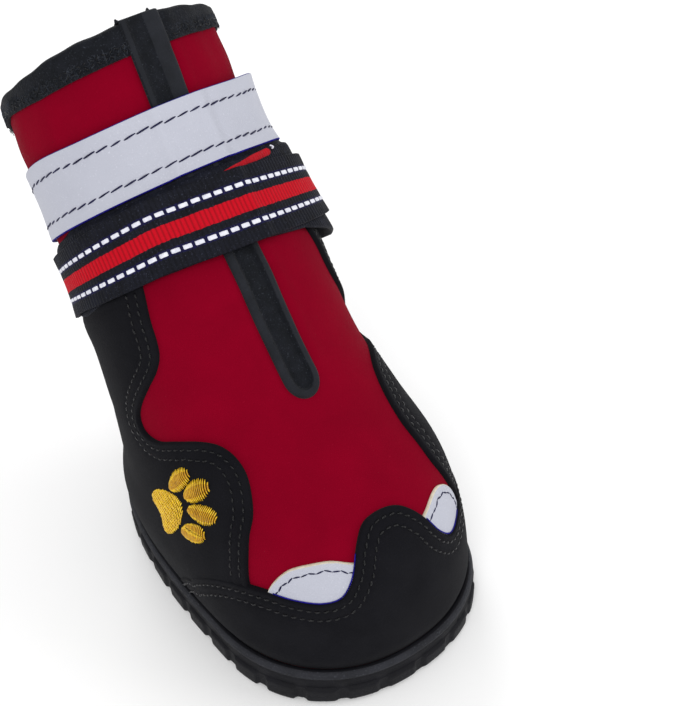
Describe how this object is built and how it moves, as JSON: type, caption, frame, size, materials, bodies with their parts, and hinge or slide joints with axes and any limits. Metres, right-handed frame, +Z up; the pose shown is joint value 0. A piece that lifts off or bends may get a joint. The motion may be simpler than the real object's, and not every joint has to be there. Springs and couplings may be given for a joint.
{
  "type": "dog bootie",
  "caption": "Dog boot with a hollow softshell upper on a lugged rubber cup sole, a reflective band and a webbing strap around its shaft.",
  "frame": {"origin": "on the floor, in the middle of the tread bar under the middle of the foot", "axes": "+Z up, toe towards -Y, the wearer's right side with the paw print towards -X"},
  "size_m": [0.0737, 0.1412, 0.1443],
  "materials": {
    "sole_rubber": "matt moulded",
    "insole_foam": "matt foam with a cloth face",
    "red_softshell": "fine stretch knit",
    "black_softshell": "matt smooth overlay",
    "reflective_tape": "glass-bead reflective",
    "black_tape": "woven tape",
    "striped_webbing": "ribbed woven webbing",
    "embroidery_thread": "satin stitch"
  },
  "bodies": {
    "root": {"outsole": "sole_rubber", "insole": "insole_foam", "upper": "red_softshell", "toe_cap": "black_softshell", "side_panel": "black_softshell", "toe_patch_left": "reflective_tape", "toe_patch_right": "reflective_tape", "front_gusset": "black_tape", "collar_binding": "black_tape", "reflective_band": "reflective_tape", "strap_base": "black_tape", "webbing_strap": "striped_webbing", "paw_pad": "embroidery_thread", "paw_toe_1": "embroidery_thread", "paw_toe_2": "embroidery_thread", "paw_toe_3": "embroidery_thread", "paw_toe_4": "embroidery_thread"}
  },
  "joints": []
}
